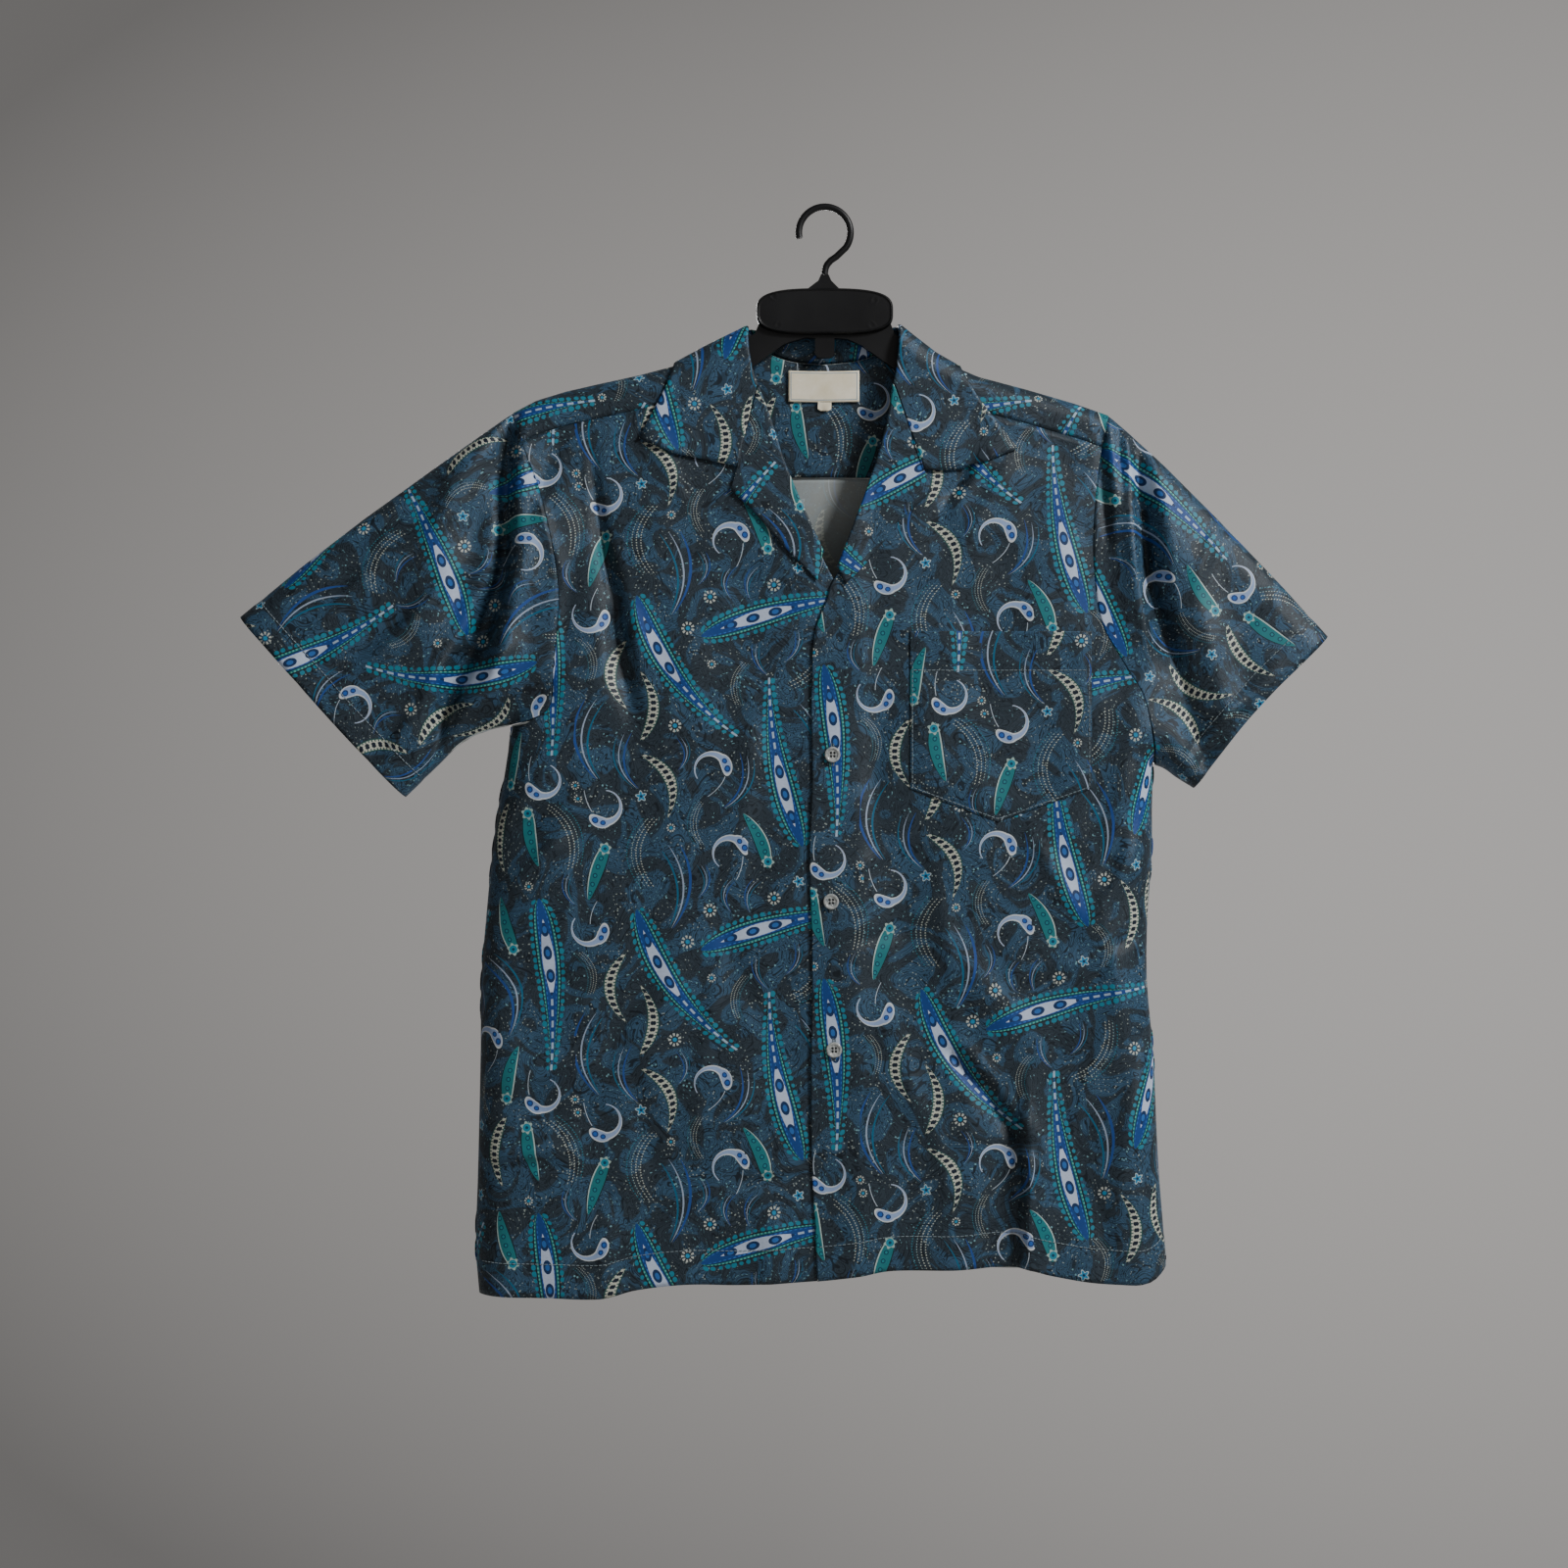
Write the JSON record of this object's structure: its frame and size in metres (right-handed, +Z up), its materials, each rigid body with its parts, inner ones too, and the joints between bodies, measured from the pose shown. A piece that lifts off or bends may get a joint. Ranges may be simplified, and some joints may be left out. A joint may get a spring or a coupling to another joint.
{
  "type": "hawaiian shirt on a hanger",
  "caption": "Short-sleeved camp-collar shirt in a dark blue all-over paisley print, with a chest patch pocket, hung on a black plastic hanger",
  "frame": {"origin": "inner crown of the hanger's hook, where it rests on a rail", "axes": "+Z is up, the front of the shirt faces -Y, and +X is the wearer's left"},
  "size_m": [0.84, 0.0558, 0.8429],
  "materials": {
    "printed_cloth": "satin",
    "label_cloth": "matte",
    "button": "gloss",
    "hanger_plastic": "satin"
  },
  "bodies": {
    "root": {"back": "printed_cloth", "yoke": "printed_cloth", "yoke_lining": "printed_cloth", "front_under": "printed_cloth", "front_over": "printed_cloth", "lapel_left": "printed_cloth", "lapel_right": "printed_cloth", "collar": "printed_cloth", "sleeve_left": "printed_cloth", "sleeve_right": "printed_cloth", "pocket": "printed_cloth", "label": "label_cloth", "size_tab": "label_cloth", "button_1": "button", "button_2": "button", "button_3": "button", "hanger_body": "hanger_plastic", "hanger_plate": "hanger_plastic", "hanger_hook": "hanger_plastic"}
  },
  "joints": []
}
